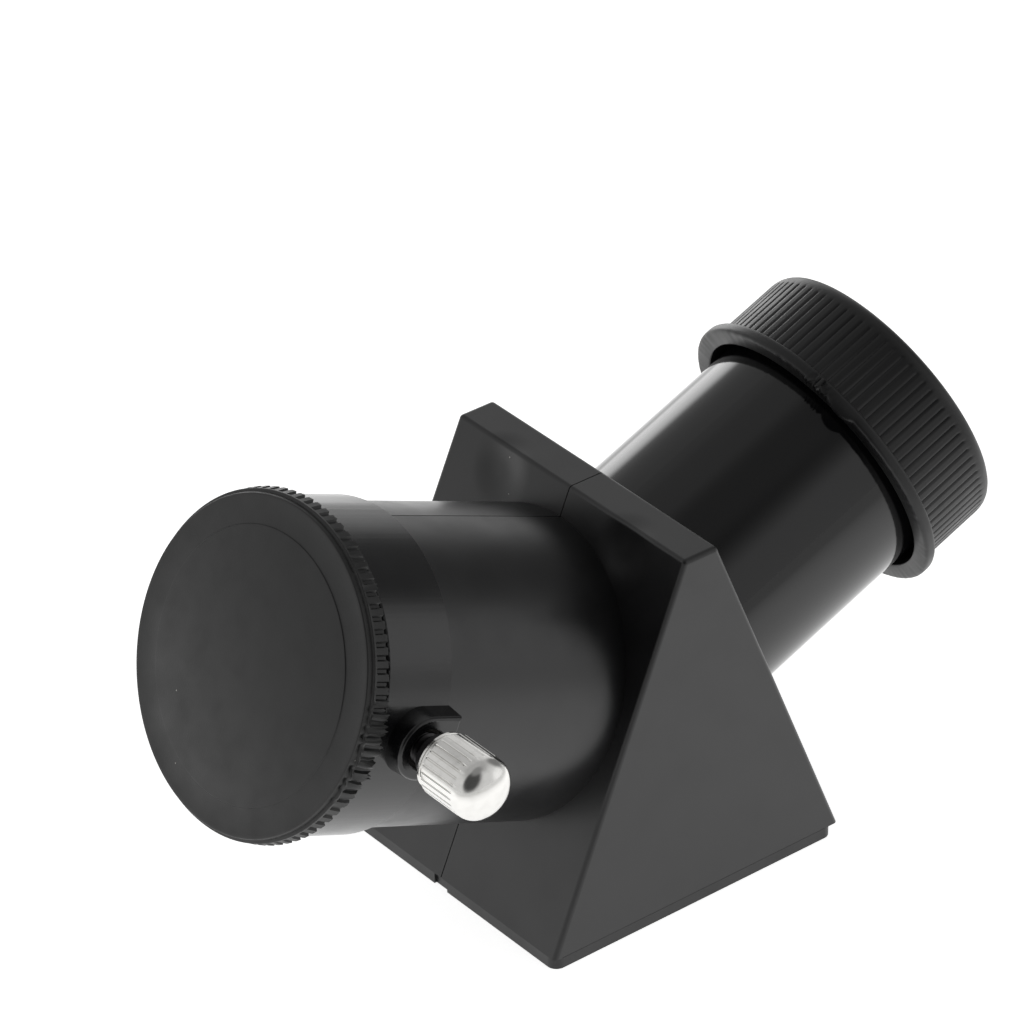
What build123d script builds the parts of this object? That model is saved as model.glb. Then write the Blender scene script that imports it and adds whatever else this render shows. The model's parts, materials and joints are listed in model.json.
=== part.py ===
"""A 45 degree erecting prism diagonal for 0.965 inch telescope accessories.

Millimetres, +Z up. X runs along the light path: the eyepiece tube points to -X and the nose barrel
to +X, each rising by the same angle from the flat base. Y is across the width, and the thumbscrew
points to -Y. The origin is the centre of the resting face. Along a tube, sizes are measured from the
crossing of the two tubes' axes.
"""

import os
from math import cos, radians, sin, sqrt, tan

from build123d import *

# Overall sizes
tube_rise = 22.5            # angle between each tube and the base, degrees
glass_distance = 4.1        # from the crossing to each face of the prism, which sets the prism's size
prism_inset = 5.0           # from the glass to the housing's sloping outer faces
strip_width = 3.76          # flat strip along the top of the housing
side_room = 0.88            # inside the housing, from each side wall to the barrel's flange
side_draft = 0.51           # the housing is narrower by this much a side at the top strip
wall = 2.0                  # housing walls
edge_radius = 0.45          # rounding of the housing's outer edges
seam_width = 0.1            # groove along the parting line of the two halves
seam_depth = 0.2

# Clearances
slip_clearance = 0.03       # between pieces that slide together when assembled
glass_clearance = 0.03      # around the glass
press_clearance = 0.015     # round the insert, which is pressed in
cap_seat = 0.05             # between a seated cap, flange or tube end and what it rests on
thread_clearance = 0.05
stud_hole_clearance = 0.25
peg_clearance = 0.05
screw_clearance = 0.02
neck_clearance = 0.05       # round the nose barrel's neck

# Base cover and its screws
cover_thickness = 1.1
cover_corner = 1.0
cover_setback = 0.6         # the cover stops short of the housing at its nose end
notch_width = 1.8           # prising notch in the cover's edge, under the eyepiece tube
notch_depth = 0.25
ridge_gap = 1.3             # between the cover and the prism's roof ridge
screw_end_margin = 4.66     # from the ends of the housing to the cover screws
screw_radius = 0.8
screw_length = 6.0
screw_head_radius = 1.5
screw_slot_width = 0.4
screw_slot_depth = 0.35
screw_recess = 0.05         # heads sit this far inside the resting face
screw_boss_wall = 1.0
screw_boss_gap = 0.2        # between the bosses and the aperture plates

# Eyepiece tube, with its collar
bore_radius = 12.28         # sliding fit for a 24.5 mm eyepiece barrel
bore_stop_depth = 0.9       # the eyepiece comes to rest this far outside the sloping face
bore_stop_width = 2.78
relief = 0.22               # the bore's mouth is wider where the thumbscrew bears
relief_length = 1.7         # from the wider mouth's inner end to the thumbscrew
tube_length = 21.4          # from the sloping face to the collar
tube_shoulder = 0.55        # step from the tube down to its spigot
spigot_wall = 1.1           # the tube inside the collar
collar_length = 7.4
collar_wall = 1.06
collar_lip = 0.85           # the collar's front lip, over the tube's end
collar_edge = 0.3           # rounding of the collar's front edge
seat_ring_width = 0.92      # ring behind the exit plate, outside the bore

# Thumbscrew and its boss
thumbscrew_inset = 3.0      # from the collar's back edge
boss_radius = 2.95
boss_rise = 1.71            # above the collar
boss_draft = 5.0
boss_edge = 0.35
boss_recess = 0.35
boss_recess_radius = 2.0
insert_radius = 1.9
stud_radius = 1.5
stud_edge = 0.25
stud_setback = 0.15         # the tip stands this far back from the bore's mouth
neck_radius = 2.2
neck_gap = 0.8              # the screw can go in this far before its neck meets the boss
neck_length = 1.9
shoulder_radius = 2.7       # ring round the neck, behind the head
shoulder_length = 0.5
stud_grip = 3.5             # depth of the stud in the head
head_radius = 2.97
knurl_length = 4.4
dome_rise = 1.86
head_edge = 0.25

# Nose barrel and its cap
barrel_radius = 12.25       # 0.965 inch (24.5 mm) barrel
barrel_wall = 1.25
barrel_length = 27.85       # outside the sloping face
barrel_chamfer = 0.5
neck_undercut = 0.5         # the barrel's neck, clasped by the housing, is this much smaller in radius
flange_width = 0.95
flange_thickness = 1.15
nose_cap_length = 9.5
nose_cap_floor = 1.3
nose_cap_gap = 0.73         # round the barrel
nose_cap_wall = 0.92
nose_lip_width = 0.83
nose_lip_thickness = 1.2
nose_lip_edge = 0.4
nose_cap_shoulder = 1.2
nose_cap_corner = 0.4

# Eyepiece cap, pushed into the collar
eyepiece_cap_height = 2.5   # outside the collar
eyepiece_cap_floor = 1.3
rim_overhang = 0.45         # the rim stands this far outside the collar
rim_gap = 0.4               # between the rim and the collar
rim_bevel = 0.36
rim_bevel_depth = 0.5
land_width = 1.35
plug_clearance = 0.1
plug_length = 4.5
plug_wall = 1.85
plug_lead_start = 2.3       # the plug narrows between these two depths, clear of the thumbscrew's tip
plug_lead_end = 2.9
plug_lead = 0.85

# Roof prism and what holds it
prism_width = 20.0
apex_cut_width = 2.54       # the prism's apex is cut off where it is this wide
stop_aperture_radius = 7.0
stop_bevel = 0.8
stop_margin = 0.2           # the aperture plates reach this far past the glass
stop_gap = 0.07             # between the plates and what they rest against
rib_thickness = 1.6
rib_inner = 3.0             # the ribs under the aperture plates start this far from the middle
side_rib_height = 3.5
side_rib_gap = 1.1          # below the nose barrel's flange
ledge_inset = 4.5           # ledges under the two ends of the prism's roof, from its ends
ledge_thickness = 1.2
ledge_inner = 3.5
ledge_outer = 7.5
ledge_shelf = 6.0
pad_thickness = 1.5
pad_length = 6.0
pad_height = 7.0
pad_lift = 1.1              # above the edge where the side of the prism meets its roof
pad_boss_margin = 0.5
cushion_width = 2.4
cushion_margin = 2.0        # from the cushion's ends to the prism's sides
cushion_thickness = 1.2
spring_width = 3.0
spring_length = 20.0
spring_rise = 1.9
spring_thickness = 0.3
anchor_width = 3.2          # anchors for the spring's ends
anchor_overlap = 1.0
anchor_thickness = 1.5

# Locating pegs between the two halves
peg_radius = 0.55
peg_length = 1.5

# The prism's section is fixed by optics: light reflected at the roof must leave square to the second
# face, which fixes how far the ridge lies below the virtual apex
rise_cos, rise_sin = cos(radians(tube_rise)), sin(radians(tube_rise))
apex_rise = glass_distance / rise_sin
ridge_height = cover_thickness + ridge_gap
axis_height = ridge_height + apex_rise / tan(radians(tube_rise)) - apex_rise
face_distance = glass_distance + prism_inset
inner_distance = face_distance - wall
top_height = axis_height + face_distance / rise_sin - strip_width / 2 * rise_cos / rise_sin
prism_top = axis_height + apex_rise - apex_cut_width / 2 * rise_cos / rise_sin

crossing = Vector(0, 0, axis_height)
eyepiece_way = Vector(-rise_cos, 0, rise_sin)
nose_way = Vector(rise_cos, 0, rise_sin)

# Across each tube: local z runs along the tube and local y up the sloping face
eyepiece_across = Plane(origin=crossing, x_dir=(0, -1, 0), z_dir=eyepiece_way)
nose_across = Plane(origin=crossing, x_dir=(0, 1, 0), z_dir=nose_way)
# Along each tube: local y runs along the tube, local x is the radius
eyepiece_section = Plane(origin=crossing, x_dir=(rise_sin, 0, rise_cos), z_dir=(0, -1, 0))
nose_section = Plane(origin=crossing, x_dir=(-rise_sin, 0, rise_cos), z_dir=(0, 1, 0))

# Radii and places along the eyepiece tube
relief_radius = bore_radius + relief
spigot_radius = relief_radius + spigot_wall
tube_radius = spigot_radius + tube_shoulder
sleeve_radius = spigot_radius + slip_clearance
collar_radius = sleeve_radius + collar_wall
collar_lip_radius = relief_radius + cap_seat
bore_stop = face_distance + bore_stop_depth
collar_start = face_distance + tube_length
collar_end = collar_start + collar_length
thumbscrew_place = collar_start + thumbscrew_inset
relief_start = thumbscrew_place - relief_length

# Places along the thumbscrew, from the tube's axis
boss_face = collar_radius + boss_rise
recess_floor = boss_face - boss_recess
insert_start = spigot_radius + stud_setback
stud_tip = relief_radius + stud_setback
neck_start = boss_face + neck_gap
head_start = neck_start + neck_length
shoulder_start = head_start - slip_clearance - shoulder_length
knurl_end = head_start + knurl_length
stud_end = head_start + stud_grip
head_end = knurl_end + dome_rise

# Along the thumbscrew: local y runs outward along the screw, local x is the radius
screw_centre = crossing + eyepiece_way * thumbscrew_place
screw_section = Plane(origin=screw_centre, x_dir=eyepiece_way, z_dir=eyepiece_way.cross(Vector(0, -1, 0)))
screw_across = Plane(origin=screw_centre, x_dir=eyepiece_way, z_dir=(0, -1, 0))

# Along the nose barrel
barrel_end = face_distance + barrel_length
barrel_neck_radius = barrel_radius - neck_undercut
flange_radius = barrel_radius + flange_width
flange_end = inner_distance - cap_seat
flange_start = flange_end - flange_thickness
seat_ring_radius = bore_radius + seat_ring_width

# The housing is wide enough for the wider of the flange and the ring opposite it
base_width = (max(flange_radius, seat_ring_radius) + side_room + wall) * 2
top_width = base_width - side_draft * 2

# The aperture plates fill the space between the glass and the flange
stop_near = glass_distance + glass_clearance
stop_far = flange_start - stop_gap
stop_half = prism_width / 2 + stop_margin


def face_height(height, distance):
    """How far up a sloping plane, from the tube's axis, a height is reached."""
    return (height - axis_height - distance * rise_sin) / rise_cos


stop_top = face_height(prism_top, glass_distance) + stop_margin
stop_bottom = face_height(ridge_height, glass_distance) + stop_margin


def slope_x(height, distance):
    """Half-length, at a height, between the two sloping planes that lie this distance from the crossing."""
    return (distance - (height - axis_height) * rise_sin) / rise_cos


def wedge(low, high, distance):
    """Outline of the wedge seen from the side, between two heights."""
    foot, head = slope_x(low, distance), slope_x(high, distance)
    with BuildSketch(Plane.XZ, mode=Mode.PRIVATE) as outline:
        with BuildLine():
            Polyline((-foot, low), (foot, low), (head, high), (-head, high), close=True)
        make_face()
    return outline.sketch


def gable(points):
    """Outline seen along X, from (y, z) points of its +Y half, top point first."""
    mirrored = [(-y, z) for y, z in reversed(points) if y > 0]
    with BuildSketch(Plane.YZ, mode=Mode.PRIVATE) as outline:
        with BuildLine():
            Polyline(*points, *mirrored, close=True)
        make_face()
    return outline.sketch


def turned(section, points, mode=Mode.ADD):
    """Turn a closed outline of (radius, distance) points round the section's own y axis."""
    with BuildSketch(section, mode=Mode.PRIVATE) as outline:
        with BuildLine():
            Polyline(*points, close=True)
        make_face()
    revolve(outline.sketch, axis=Axis(section.origin, section.y_dir), mode=mode)


def ring(section, inner, outer, start, end, mode=Mode.ADD):
    """A plain ring or disc about the section's axis."""
    turned(section, [(inner, start), (outer, start), (outer, end), (inner, end)], mode)


def block(plane, x, y, depth, mode=Mode.ADD):
    """A box on a plane: x and y are (low, high), and depth is (start, end) along the plane's normal."""
    with BuildSketch(plane.offset(depth[0]), mode=Mode.PRIVATE) as outline:
        with Locations(((x[0] + x[1]) / 2, (y[0] + y[1]) / 2)):
            Rectangle(x[1] - x[0], y[1] - y[0])
    extrude(outline.sketch, amount=depth[1] - depth[0], mode=mode)


def half_width(height):
    """Half the housing's outside width at a height."""
    return (base_width + (top_width - base_width) * height / top_height) / 2


# The space inside the housing, open at the bottom
with BuildPart() as cavity:
    extrude(wedge(0, top_height - wall, inner_distance), amount=base_width, both=True)
    inner_top = half_width(top_height - wall) - wall
    inner_foot = half_width(0) - wall
    extrude(
        gable([(inner_top, top_height - wall), (inner_foot, 0)]),
        amount=top_height * 2,
        both=True,
        mode=Mode.INTERSECT,
    )

# Both halves of the housing together, with the eyepiece tube and the seats moulded inside
with BuildPart() as shell:
    extrude(wedge(cover_thickness, top_height, face_distance), amount=base_width, both=True)
    extrude(
        gable([(half_width(top_height), top_height), (half_width(cover_thickness), cover_thickness)]),
        amount=top_height * 2,
        both=True,
        mode=Mode.INTERSECT,
    )
    rounded = shell.edges().filter_by(lambda e: e.center().Z > cover_thickness + edge_radius)
    fillet(rounded, radius=edge_radius)
    ring(eyepiece_section, 0, tube_radius, inner_distance, collar_start)
    ring(eyepiece_section, 0, spigot_radius, inner_distance, collar_end - collar_lip - cap_seat)
    add(cavity.part, mode=Mode.SUBTRACT)

    # ring behind the exit plate, level with the nose barrel's flange
    ring(eyepiece_section, 0, seat_ring_radius, flange_start, inner_distance)
    ring(eyepiece_section, 0, bore_radius - bore_stop_width, 0, bore_stop, mode=Mode.SUBTRACT)
    ring(eyepiece_section, 0, bore_radius, bore_stop, collar_end, mode=Mode.SUBTRACT)
    ring(eyepiece_section, 0, relief_radius, relief_start, collar_end, mode=Mode.SUBTRACT)
    nose_hole_radius = barrel_neck_radius + neck_clearance
    ring(nose_section, 0, nose_hole_radius, inner_distance - wall, face_distance + wall, mode=Mode.SUBTRACT)

    # ribs that carry the two aperture plates, below and beside them
    rib_depth = (stop_near, inner_distance + wall / 2)
    rib_outer = inner_foot + wall / 2
    rib_top = stop_bottom - slip_clearance
    side_rib_top = -sqrt(max(flange_radius**2 - stop_half**2, 0)) - side_rib_gap
    for across in (eyepiece_across, nose_across):
        for side in (-1, 1):
            under = sorted((side * rib_inner, side * rib_outer))
            beside = sorted((side * (stop_half + slip_clearance), side * rib_outer))
            block(across, under, (rib_top - rib_thickness, rib_top), rib_depth)
            block(across, beside, (side_rib_top - side_rib_height, side_rib_top), rib_depth)

    # ledges under the ends of the prism's roof, which slopes at 45 degrees
    roof = ridge_height - glass_clearance * 2
    ledge_start = slope_x(ridge_height, glass_distance) - ledge_inset
    for end in (-1, 1):
        with BuildSketch(Plane.YZ.offset(end * ledge_start), mode=Mode.PRIVATE) as ledge:
            with BuildLine():
                Polyline(
                    (ledge_inner, 0),
                    (rib_outer, 0),
                    (rib_outer, ledge_shelf),
                    (ledge_outer, ledge_shelf),
                    (ledge_outer, roof + ledge_outer),
                    (ledge_inner, roof + ledge_inner),
                    close=True,
                )
            make_face()
            mirror(about=Plane.YZ)
        extrude(ledge.sketch, amount=end * ledge_thickness)

    # bosses behind the side pads, anchors for the spring and bosses for the cover screws
    pad_face = prism_width / 2 + glass_clearance * 2 + pad_thickness
    pad_reach = pad_length / 2 + pad_boss_margin
    pad_low = ridge_height + prism_width / 2 + pad_lift
    pad_high = pad_low + pad_height
    anchor_inner = spring_length / 2 - anchor_overlap
    anchor_low = prism_top + glass_clearance * 3 + cushion_thickness + spring_rise + spring_thickness
    for side in (-1, 1):
        pad_depth = (side * pad_face, side * rib_outer)
        anchor_depth = (side * anchor_inner, side * (inner_top + wall / 2))
        sideways = Plane(origin=(0, 0, 0), x_dir=(1, 0, 0), z_dir=(0, -1, 0))
        pad_heights = (pad_low - pad_boss_margin, pad_high + pad_boss_margin)
        block(sideways, (-pad_reach, pad_reach), pad_heights, sorted(pad_depth))
        anchor_heights = (anchor_low, anchor_low + anchor_thickness)
        block(sideways, (-anchor_width / 2, anchor_width / 2), anchor_heights, sorted(anchor_depth))
    flange_room = flange_radius + slip_clearance
    ring(nose_section, 0, flange_room, flange_start - stop_gap, inner_distance, mode=Mode.SUBTRACT)
    screw_boss_radius = screw_radius + screw_boss_wall
    screw_x = slope_x(cover_thickness, face_distance) - screw_end_margin
    screw_y = stop_half + screw_boss_gap + screw_boss_radius
    upright = (Align.CENTER, Align.CENTER, Align.MIN)
    with GridLocations(screw_x * 2, screw_y * 2, 2, 2):
        Cylinder(screw_boss_radius, screw_length + slip_clearance + screw_clearance, align=upright)
        Cylinder(screw_radius + screw_clearance, screw_length, align=upright, mode=Mode.SUBTRACT)
    split(bisect_by=Plane.XY.offset(cover_thickness), keep=Keep.TOP)

    # groove along the outside of the parting line
    with BuildSketch(Plane.XZ):
        add(wedge(0, top_height, face_distance))
        add(wedge(-wall, top_height - seam_depth, face_distance - seam_depth), mode=Mode.SUBTRACT)
    extrude(amount=seam_width / 2, both=True, mode=Mode.SUBTRACT)
    for side in (-1, 1):
        seam_edges = sorted((side * (tube_radius - seam_depth), side * (tube_radius + wall)))
        seam_run = (face_distance, collar_start + slip_clearance)
        block(eyepiece_across, (-seam_width / 2, seam_width / 2), seam_edges, seam_run, Mode.SUBTRACT)

# Places of the locating pegs on the parting plane: in both sloping walls, the top strip and the tube's wall
mid_wall = inner_distance + wall / 2
peg_low = crossing + nose_way * mid_wall - nose_section.x_dir * (flange_radius + rib_thickness * 2)
peg_points = [
    (peg_low.X, peg_low.Z),
    (-peg_low.X, peg_low.Z),
    (0, top_height - wall / 2),
]
mid_tube = eyepiece_section.x_dir * (bore_radius + tube_radius) / 2
for way in (-1, 1):
    peg_tube = crossing + eyepiece_way * (face_distance + collar_start) / 2 + mid_tube * way
    peg_points.append((peg_tube.X, peg_tube.Z))

with BuildPart() as housing_near:
    add(shell.part)
    split(bisect_by=Plane.XZ, keep=Keep.TOP)
    ring(screw_section, 0, stud_radius + stud_hole_clearance, 0, spigot_radius + wall, mode=Mode.SUBTRACT)
    with BuildSketch(Plane.XZ) as pegs:
        with Locations(*peg_points):
            Circle(peg_radius)
    extrude(amount=-peg_length)
    extrude(pegs.sketch, amount=peg_length / 2)

with BuildPart() as housing_far:
    add(shell.part)
    split(bisect_by=Plane.XZ, keep=Keep.BOTTOM)
    with BuildSketch(Plane.XZ):
        with Locations(*peg_points):
            Circle(peg_radius + peg_clearance)
    extrude(amount=-peg_length - peg_clearance, mode=Mode.SUBTRACT)

with BuildPart() as base_cover:
    cover_back = -slope_x(cover_thickness, face_distance)
    cover_front = slope_x(cover_thickness, face_distance) - cover_setback
    with BuildSketch():
        with Locations(((cover_back + cover_front) / 2, 0)):
            RectangleRounded(cover_front - cover_back, base_width, cover_corner)
        with Locations((cover_back, 0)):
            Rectangle(notch_depth * 2, notch_width, mode=Mode.SUBTRACT)
    extrude(amount=cover_thickness)
    bottom = Plane(origin=(0, 0, 0), x_dir=(1, 0, 0), z_dir=(0, 0, -1))
    with Locations(bottom):
        with GridLocations(screw_x * 2, screw_y * 2, 2, 2):
            CounterSinkHole(
                screw_radius + screw_clearance * 2,
                screw_head_radius + screw_clearance * 2 + screw_recess,
                depth=cover_thickness,
            )

with BuildPart() as cover_screws:
    with Locations(*[(x, y, screw_recess) for x in (-screw_x, screw_x) for y in (-screw_y, screw_y)]):
        Cylinder(screw_radius, screw_length - screw_recess, align=upright)
        Cone(screw_head_radius, screw_radius, screw_head_radius - screw_radius, align=upright)
        Box(screw_head_radius * 2, screw_slot_width, screw_slot_depth, align=upright, mode=Mode.SUBTRACT)

with BuildPart() as eyepiece_collar:
    ring(eyepiece_section, sleeve_radius - wall, collar_radius, collar_start, collar_end)
    ring_edges = eyepiece_collar.edges().filter_by(GeomType.CIRCLE)
    outer_edges = ring_edges.filter_by(lambda e: e.radius > sleeve_radius)
    fillet(outer_edges.sort_by(Axis(crossing, eyepiece_way))[-1], radius=collar_edge)
    with BuildSketch(screw_across.offset(boss_face)):
        Circle(boss_radius)
        with Locations(((collar_start - thumbscrew_place) / 2, 0)):
            Rectangle(thumbscrew_place - collar_start, boss_radius * 2)
    extrude(amount=-(boss_face - sleeve_radius + wall / 2), taper=-boss_draft)
    split(bisect_by=eyepiece_across.offset(collar_start), keep=Keep.TOP)
    ring(eyepiece_section, 0, sleeve_radius, collar_start - wall, collar_end - collar_lip, mode=Mode.SUBTRACT)
    ring(eyepiece_section, 0, collar_lip_radius, collar_start, collar_end, mode=Mode.SUBTRACT)
    fillet(eyepiece_collar.faces().sort_by(Axis.Y)[0].edges(), radius=boss_edge)
    ring(screw_section, 0, boss_recess_radius, recess_floor, boss_face + wall, mode=Mode.SUBTRACT)
    ring(screw_section, 0, insert_radius + press_clearance, sleeve_radius - wall, boss_face, Mode.SUBTRACT)

with BuildPart() as thread_insert:
    ring(screw_section, stud_radius + thread_clearance, insert_radius, insert_start, recess_floor)

with BuildPart() as thumbscrew_stud:
    turned(
        screw_section,
        [
            (0, stud_tip),
            (stud_radius - stud_edge, stud_tip),
            (stud_radius, stud_tip + stud_edge),
            (stud_radius, neck_start),
            (neck_radius, neck_start),
            (neck_radius, shoulder_start),
            (shoulder_radius, shoulder_start),
            (shoulder_radius, head_start - slip_clearance),
            (stud_radius, head_start - slip_clearance),
            (stud_radius, stud_end),
            (0, stud_end),
        ],
    )

with BuildPart() as thumbscrew_head:
    with BuildSketch(screw_section):
        with BuildLine():
            Polyline(
                (0, stud_end + slip_clearance),
                (stud_radius + slip_clearance, stud_end + slip_clearance),
                (stud_radius + slip_clearance, head_start),
                (head_radius - head_edge, head_start),
                (head_radius, head_start + head_edge),
                (head_radius, knurl_end),
            )
            dome_radius = (head_radius**2 + dome_rise**2) / (2 * dome_rise)
            turn = radians(45) * dome_rise / head_radius
            on_dome = (dome_radius * sin(turn), head_end - dome_radius * (1 - cos(turn)))
            ThreePointArc((head_radius, knurl_end), on_dome, (0, head_end))
            Line((0, head_end), (0, stud_end + slip_clearance))
        make_face()
    revolve(axis=Axis(screw_section.origin, screw_section.y_dir))

with BuildPart() as nose_barrel:
    barrel_bore_radius = barrel_radius - barrel_wall
    turned(
        nose_section,
        [
            (barrel_bore_radius, flange_start),
            (flange_radius, flange_start),
            (flange_radius, flange_end),
            (barrel_neck_radius, flange_end),
            (barrel_neck_radius, face_distance + cap_seat),
            (barrel_radius, face_distance + cap_seat),
            (barrel_radius, barrel_end - barrel_chamfer),
            (barrel_radius - barrel_chamfer, barrel_end),
            (barrel_bore_radius, barrel_end),
        ],
    )

with BuildPart() as nose_cap:
    cap_floor = barrel_end + cap_seat
    nose_cap_end = cap_floor + nose_cap_floor
    nose_cap_start = nose_cap_end - nose_cap_length
    lip_end = nose_cap_start + nose_lip_thickness
    nose_cap_bore_radius = barrel_radius + nose_cap_gap
    nose_cap_radius = nose_cap_bore_radius + nose_cap_wall
    nose_lip_radius = nose_cap_radius + nose_lip_width
    turned(
        nose_section,
        [
            (nose_cap_bore_radius, nose_cap_start),
            (nose_lip_radius, nose_cap_start),
            (nose_lip_radius, lip_end),
            (nose_cap_radius, lip_end),
            (nose_cap_radius, nose_cap_end),
            (0, nose_cap_end),
            (0, cap_floor),
            (nose_cap_bore_radius - nose_cap_corner, cap_floor),
            (nose_cap_bore_radius, cap_floor - nose_cap_corner),
        ],
    )
    end_edge = nose_cap.edges().filter_by(GeomType.CIRCLE).sort_by(Axis(crossing, nose_way))[-1]
    fillet(end_edge, radius=nose_cap_shoulder)
    cap_edges = nose_cap.edges().filter_by(GeomType.CIRCLE)
    fillet(cap_edges.filter_by(lambda e: e.radius > nose_lip_radius - slip_clearance), radius=nose_lip_edge)

with BuildPart() as eyepiece_cap:
    plug_start = collar_end + cap_seat
    plug_radius = collar_lip_radius - plug_clearance
    rim_radius = collar_radius + rim_overhang
    eyepiece_cap_end = collar_end + eyepiece_cap_height
    plug_inner_radius = plug_radius - plug_wall
    plug_tip = collar_end - plug_length
    rim_start = collar_end + rim_gap
    turned(
        eyepiece_section,
        [
            (0, eyepiece_cap_end),
            (rim_radius - rim_bevel, eyepiece_cap_end),
            (rim_radius, eyepiece_cap_end - rim_bevel_depth),
            (rim_radius, rim_start),
            (plug_radius + land_width, rim_start),
            (plug_radius + land_width, plug_start),
            (plug_radius, plug_start),
            (plug_radius, collar_end - plug_lead_start),
            (plug_radius - plug_lead, collar_end - plug_lead_end),
            (plug_radius - plug_lead, plug_tip),
            (plug_inner_radius, plug_tip),
            (plug_inner_radius, eyepiece_cap_end - eyepiece_cap_floor),
            (0, eyepiece_cap_end - eyepiece_cap_floor),
        ],
    )

with BuildPart() as roof_prism:
    extrude(wedge(ridge_height, prism_top, glass_distance), amount=prism_width, both=True)
    roof_foot = (prism_width / 2, ridge_height + prism_width / 2)
    extrude(
        gable([(prism_width / 2, prism_top), roof_foot, (0, ridge_height)]),
        amount=top_height,
        both=True,
        mode=Mode.INTERSECT,
    )


def aperture_plate(across, section):
    """An aperture plate on the prism's face towards a tube, its opening bevelled away from the glass."""
    bevelled_radius = stop_aperture_radius + stop_bevel
    block(across, (-stop_half, stop_half), (stop_bottom, stop_top), (stop_near, stop_far))
    turned(
        section,
        [(0, stop_near), (stop_aperture_radius, stop_near), (bevelled_radius, stop_far), (0, stop_far)],
        Mode.SUBTRACT,
    )


with BuildPart() as entrance_stop:
    aperture_plate(nose_across, nose_section)

with BuildPart() as exit_stop:
    aperture_plate(eyepiece_across, eyepiece_section)

pad_start = prism_width / 2 + glass_clearance
with BuildPart() as prism_pad_near:
    with BuildSketch(Plane.XZ.offset(pad_start)):
        with Locations((0, (pad_low + pad_high) / 2)):
            RectangleRounded(pad_length, pad_high - pad_low, pad_boss_margin)
    extrude(amount=pad_thickness)

with BuildPart() as prism_pad_far:
    add(prism_pad_near.part.mirror(Plane.XZ))

cushion_low = prism_top + glass_clearance
with BuildPart() as apex_cushion:
    with BuildSketch(Plane.XY.offset(cushion_low)):
        RectangleRounded(cushion_width, prism_width - cushion_margin * 2, pad_boss_margin)
    extrude(amount=cushion_thickness)

with BuildPart() as prism_spring:
    bow_low = cushion_low + cushion_thickness + glass_clearance
    bow_high = bow_low + spring_rise
    half_span = spring_length / 2
    with BuildSketch(Plane.YZ):
        with BuildLine():
            ThreePointArc((-half_span, bow_high), (0, bow_low), (half_span, bow_high))
            Line((half_span, bow_high), (half_span, bow_high + spring_thickness))
            ThreePointArc(
                (half_span, bow_high + spring_thickness),
                (0, bow_low + spring_thickness),
                (-half_span, bow_high + spring_thickness),
            )
            Line((-half_span, bow_high + spring_thickness), (-half_span, bow_high))
        make_face()
    extrude(amount=spring_width / 2, both=True)

pieces = {
    "housing_near": housing_near,
    "housing_far": housing_far,
    "base_cover": base_cover,
    "cover_screws": cover_screws,
    "eyepiece_collar": eyepiece_collar,
    "thread_insert": thread_insert,
    "thumbscrew_stud": thumbscrew_stud,
    "thumbscrew_head": thumbscrew_head,
    "nose_barrel": nose_barrel,
    "nose_cap": nose_cap,
    "eyepiece_cap": eyepiece_cap,
    "roof_prism": roof_prism,
    "entrance_stop": entrance_stop,
    "exit_stop": exit_stop,
    "prism_pad_near": prism_pad_near,
    "prism_pad_far": prism_pad_far,
    "apex_cushion": apex_cushion,
    "prism_spring": prism_spring,
}
os.makedirs("parts", exist_ok=True)
for name, piece in pieces.items():
    piece.part.label = name
    export_step(piece.part, f"parts/{name}.step")
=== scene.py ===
"""An erecting prism diagonal for small telescopes, finished round its fixed frame.

The housing, collar, barrel and inner parts keep their frame solids and get their finishes here. The two
dust caps, the thumbscrew and the foam pads are modelled afresh, with their knurls, ribs, thread and
mould flash. Sizes in the classes are millimetres; Blender's own units are metres.
"""

import json
import logging
import math
from dataclasses import dataclass
from enum import Enum
from typing import Callable, Iterable, Optional, Sequence

import bmesh
import bpy
from mathutils import Matrix, Vector, noise


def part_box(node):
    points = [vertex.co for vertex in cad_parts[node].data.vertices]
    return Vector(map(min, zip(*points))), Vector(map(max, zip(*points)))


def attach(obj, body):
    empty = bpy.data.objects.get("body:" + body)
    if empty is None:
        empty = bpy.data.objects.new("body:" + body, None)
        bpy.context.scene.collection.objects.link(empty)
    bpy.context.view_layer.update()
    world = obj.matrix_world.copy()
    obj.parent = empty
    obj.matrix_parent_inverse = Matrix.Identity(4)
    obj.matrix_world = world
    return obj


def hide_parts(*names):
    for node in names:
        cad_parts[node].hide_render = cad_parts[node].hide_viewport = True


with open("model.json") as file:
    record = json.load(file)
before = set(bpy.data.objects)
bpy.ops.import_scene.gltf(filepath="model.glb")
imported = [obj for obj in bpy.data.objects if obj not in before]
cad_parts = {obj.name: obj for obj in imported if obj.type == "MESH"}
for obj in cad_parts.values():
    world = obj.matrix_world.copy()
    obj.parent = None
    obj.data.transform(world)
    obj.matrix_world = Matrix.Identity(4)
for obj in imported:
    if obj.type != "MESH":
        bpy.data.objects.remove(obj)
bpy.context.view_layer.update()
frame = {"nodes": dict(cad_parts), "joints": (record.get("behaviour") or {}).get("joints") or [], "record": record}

MM = 0.001
# vertices closer than this, in metres, are one
WELD = 1e-6
log = logging.getLogger("diagonal")
Outline = Sequence[tuple[float, float]]


# ---------------------------------------------------------------- places


class Tube(Enum):
    """The two tubes of the diagonal, each named by the round mount on it."""

    EYEPIECE = "eyepiece_bore"
    NOSE = "nose_barrel"


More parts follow.
